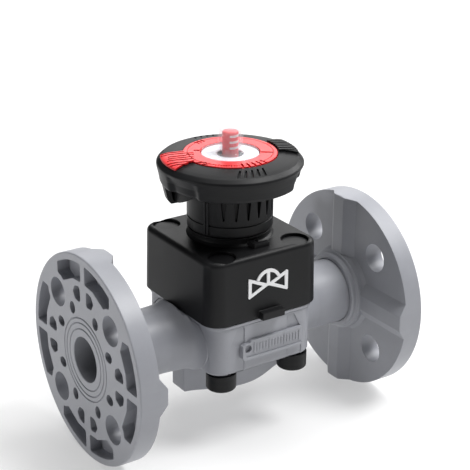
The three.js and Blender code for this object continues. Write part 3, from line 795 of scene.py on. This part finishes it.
def tag_plate():
    low, high = box_mm("tag_plate")
    piece = lathe("tag_plate", [
        (7.3, low.z), (15.3, low.z), (15.3, high.z, 0.2), (12.6, high.z, 0.1), (12.4, high.z - 0.15),
        (12.1, high.z - 0.15), (12, high.z, 0.1), (7.3, high.z),
    ], 128)
    tools = [moved(brick("line", (7.8, -0.22, high.z - 0.3), (14.6, 0.22, high.z + 1)), angle)
             for angle in (-36.5, 143.5)]
    carve(piece, *tools)
    return finish(soften(piece, 0.05), "tag_silver", "wheel", "tag_plate", slot="white_plastic")


def clear_cap():
    top = CAP_HIGH.z
    piece = lathe("clear_cap", [
        (0, top), (6.2, top, 1), (7, top - 1.3, 0.8), (6.6, 98.9, 0.8), (7.3, 98, 0.5), (15.4, 98, 0.3),
        (15.4, 97), (5.7, 97, 0.3), (5.9, top - 1.8, 0.6), (0, top - 1.3),
    ], 128)
    return finish(soften(piece, 0), "clear_plastic", "wheel", "clear_cap")


def position_indicator():
    """Red rod with three shallow grooves, each with a white band round its front."""
    marks = [point for z in (100, 103.2, 106.4)
             for point in ((4.3, z, 0.1), (4.05, z + 0.2), (4.05, z + 1.2), (4.3, z + 1.4, 0.1))]
    piece = lathe("position_indicator", [
        (0, 96.8), (2.9, 96.8), (2.9, 93.5), (4.3, 93.5, 0.2), *marks, (4.3, 109.2, 0.8), (0, 109.2),
    ], 96)
    finish(soften(piece, 0), "red_plastic", "stem_train", "position_indicator")

    def band(name, low):
        section = [(4.0, low), (4.32, low), (4.32, low + 1.2), (4.0, low + 1.2)]
        return swept(name, lambda angle: section, -128, 10, 40)

    bands = band("indicator_marks", 100.1)
    for low in (103.3, 106.5):
        weld(bands, band("mark", low))
    return finish(soften(bands, 0), "mark_white", "stem_train", slot="white_plastic")


# ---------- fasteners ----------
def bolt_cap(corner):
    place = middle(f"bolt_cap_{corner}")
    piece = lathe(f"bolt_cap_{corner}", [
        (0, -23), (7.6, -23, 0.5), (8.2, -22.2, 0.6), (8.2, -13.8, 0.3), (7, -13.8), (7, -21.2), (0, -21.2),
    ], 96)
    moved(piece, shift=(place.x, place.y, 0))
    return finish(soften(piece, 0), "black_plastic", "housing", f"bolt_cap_{corner}")


def bolt_plug(corner):
    place = middle(f"bolt_plug_{corner}")
    piece = lathe(f"bolt_plug_{corner}", [
        (0, 47.4), (7.35, 47.4), (7.35, 50.8, 0.5), (6.2, 51.1, 2), (0, 51.3),
    ], 96)
    moved(piece, shift=(place.x, place.y, 0))
    return finish(soften(piece, 0.2), "black_plastic", "housing", f"bolt_plug_{corner}")


# ---------- carried-over CAD nodes ----------
HIDDEN_LOOKS = {
    "lock_crown": "black_plastic", "diaphragm_stud": "stainless", "compressor": "black_plastic",
    "floating_pin": "stainless", "stem": "stainless", "drive_sleeve": "plated_brass",
    "thrust_washer": "acetal", "retaining_ring": "stainless", "sleeve_seal": "rubber", "lock_ring": "acetal",
    "cap_seal": "rubber", "bonnet_bolt": "stainless", "bolt_washer": "stainless", "bolt_nut": "stainless",
}


def dress_cad_nodes():
    """Gives the CAD nodes that stay as they are their material."""
    for name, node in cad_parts.items():
        for start, look in HIDDEN_LOOKS.items():
            if name.startswith(start) and not node.hide_render:
                node.data.materials.clear()
                node.data.materials.append(FINISH[look])


flange("flange_left", -90)
flange("flange_right", 90)
valve_body()
size_plate()
bonnet()
front_symbol()
neck_collar()
diaphragm()
handwheel()
dial_ring()
index_tab()
tag_plate()
clear_cap()
position_indicator()
for corner in POSTS:
    bolt_cap(corner)
    bolt_plug(corner)
dress_cad_nodes()


# ---------- studio ----------
def studio_floor():
    """A pale floor that glows a little, which keeps the shadows on it soft."""
    bm = bmesh.new()
    bmesh.ops.create_grid(bm, x_segments=4, y_segments=4, size=6)
    mesh = bpy.data.meshes.new("floor")
    bm.to_mesh(mesh)
    bm.free()
    mesh.transform(Matrix.Translation((0, 0, FLOOR_Z)))
    floor = bpy.data.objects.new("floor", mesh)
    bpy.context.scene.collection.objects.link(floor)
    pale = plastic("floor_white", (0.52, 0.52, 0.52), mottle=0.003, rough=(0.9, 0.95), grain=0, wear=0,
                   specular=0)
    shader = pale.node_tree.nodes["Principled BSDF"]
    shader.inputs["Emission Color"].default_value = (1, 1, 1, 1)
    shader.inputs["Emission Strength"].default_value = 0.42
    mesh.materials.append(pale)


def area_light(name, spot, target, size, power):
    light = bpy.data.lights.new(name, "AREA")
    light.shape = "DISK"
    light.size = size
    light.energy = power
    lamp = bpy.data.objects.new(name, light)
    lamp.location = spot
    lamp.rotation_euler = (Vector(target) - Vector(spot)).to_track_quat("-Z", "Y").to_euler()
    bpy.context.scene.collection.objects.link(lamp)


def studio_lights():
    area_light("key", (0.8, -0.7, 1.9), (0, 0, 0.03), 0.9, 34)
    area_light("side", (1.7, 0.2, 1.1), (0, 0, 0.03), 1.2, 25)
    area_light("left", (-2.0, 0.3, 0.26), (-0.05, 0, 0.02), 0.35, 6.8)
    area_light("top", (0.3, 0.3, 2.2), (0, 0, 0.05), 2.0, 34)
    area_light("back", (1.0, 1.5, 0.8), (0, 0, 0.08), 1.2, 7)
    world = bpy.data.worlds.new("studio")
    world.use_nodes = True
    background = world.node_tree.nodes["Background"]
    background.inputs["Color"].default_value = (1, 1, 1, 1)
    background.inputs["Strength"].default_value = 0.04
    bpy.context.scene.world = world


def studio_camera():
    azimuth, elevation, roll = math.radians(-34.026), math.radians(22.535), math.radians(0.468)
    aim, distance = Vector((0.003445, 0, 0.049292)), 0.765545
    back = Vector((math.sin(azimuth) * math.cos(elevation), -math.cos(azimuth) * math.cos(elevation),
                   math.sin(elevation)))
    level = Vector((math.cos(azimuth), math.sin(azimuth), 0))
    rise = back.cross(level)
    right = level * math.cos(roll) + rise * math.sin(roll)
    up = rise * math.cos(roll) - level * math.sin(roll)
    lens = bpy.data.cameras.new("camera")
    lens.sensor_width = 36
    lens.lens = 108.46
    lens.clip_start = 0.01
    camera = bpy.data.objects.new("camera", lens)
    turn = Matrix((right, up, back)).transposed()
    camera.matrix_world = Matrix.Translation(aim + back * distance) @ turn.to_4x4()
    bpy.context.scene.collection.objects.link(camera)
    bpy.context.scene.camera = camera


studio_floor()
studio_lights()
studio_camera()
bpy.context.scene.view_settings.view_transform = "Standard"
